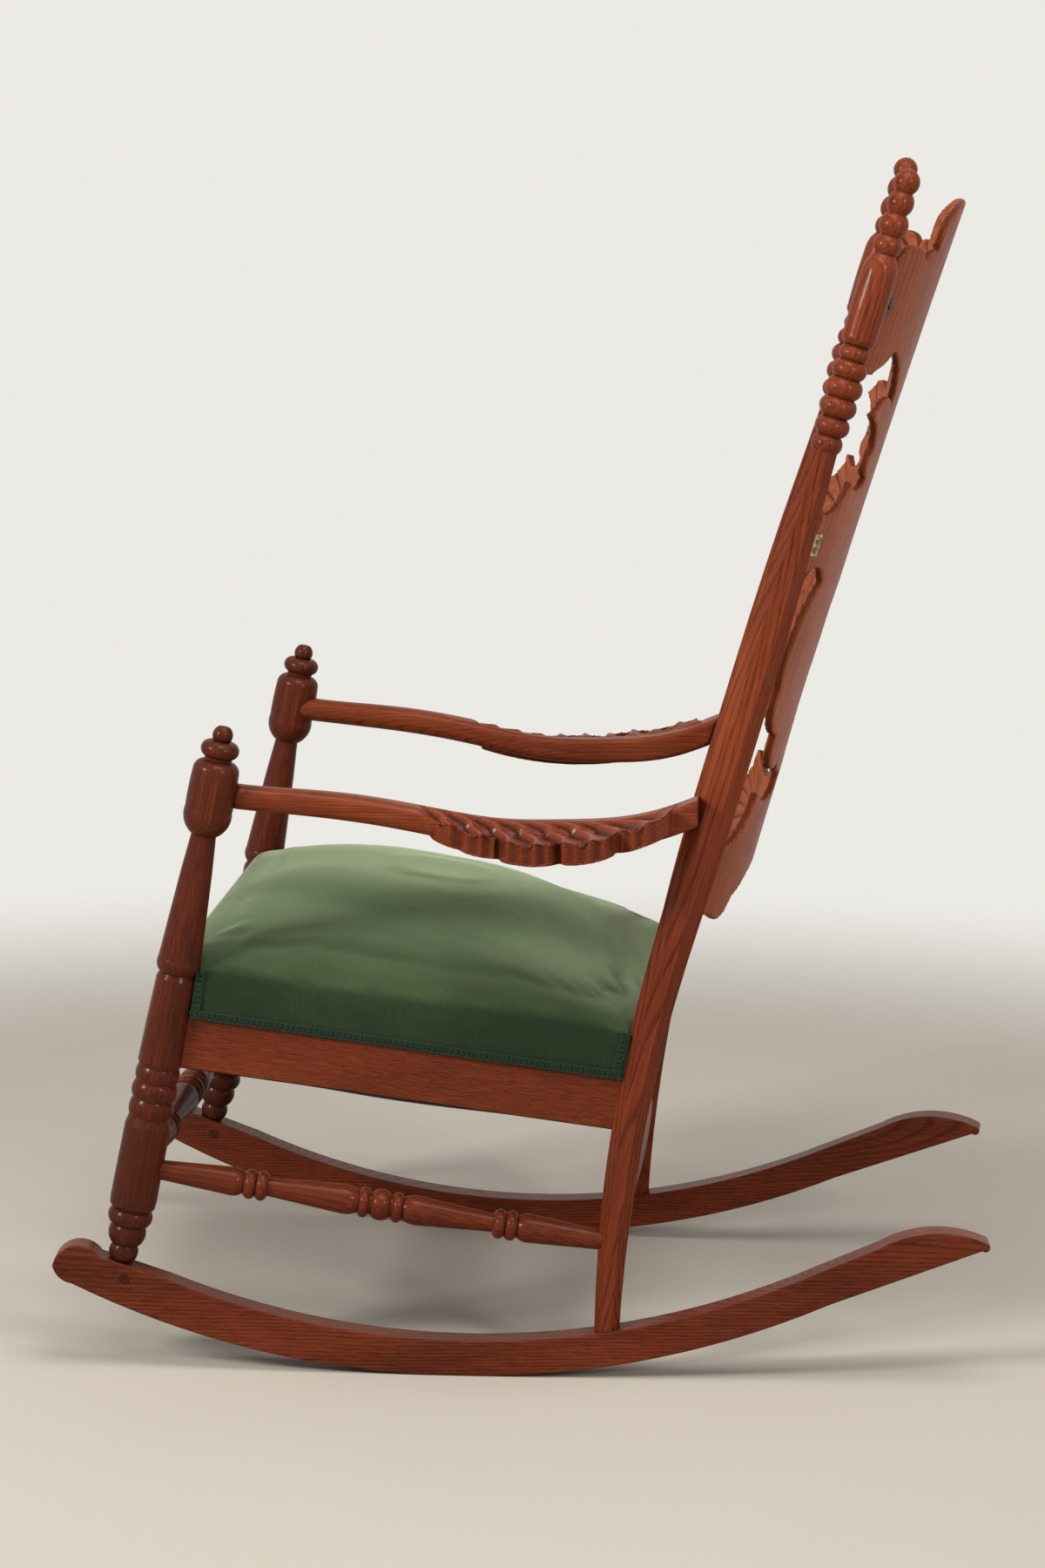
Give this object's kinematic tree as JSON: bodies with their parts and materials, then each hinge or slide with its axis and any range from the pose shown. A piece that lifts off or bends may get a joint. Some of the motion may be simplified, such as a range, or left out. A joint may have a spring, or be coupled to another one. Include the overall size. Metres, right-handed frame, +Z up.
{
  "type": "rocking chair",
  "caption": "High-backed rocking chair with turned posts, scalloped arms, a pierced bent back board and a sprung velvet seat.",
  "frame": {"origin": "on the floor, at the middle of the outer box", "axes": "+Z up, -Y the way the chair faces, +X to the sitter's left"},
  "size_m": [0.6834, 0.9191, 1.1842],
  "materials": {
    "stained_oak": "gloss",
    "green_velvet": "velvet pile",
    "green_braid": "looped braid",
    "brass": "tarnished",
    "steel": "aged",
    "jute": "coarse weave",
    "stuffing": "cotton felt over hair",
    "black_cambric": "dull cloth"
  },
  "bodies": {
    "root": {"arm_dowels": "stained_oak", "arm_left": "stained_oak", "arm_right": "stained_oak", "back_board": "stained_oak", "board_brackets_bottom": "brass", "board_brackets_middle": "brass", "board_brackets_top": "steel", "board_screws": "steel", "corner_block_screws": "steel", "corner_blocks": "stained_oak", "dust_cover": "black_cambric", "front_post_left": "stained_oak", "front_post_right": "stained_oak", "front_stretcher": "stained_oak", "gimp_braid": "green_braid", "rear_post_left": "stained_oak", "rear_post_right": "stained_oak", "rear_stretcher": "stained_oak", "rocker_left": "stained_oak", "rocker_pins": "stained_oak", "rocker_right": "stained_oak", "seat_cover": "green_velvet", "seat_pad": "stuffing", "seat_rail_front": "stained_oak", "seat_rail_left": "stained_oak", "seat_rail_rear": "stained_oak", "seat_rail_right": "stained_oak", "seat_springs": "steel", "side_stretcher_left": "stained_oak", "side_stretcher_right": "stained_oak", "spring_deck": "jute", "webbing_across": "jute", "webbing_along": "jute"}
  },
  "joints": []
}
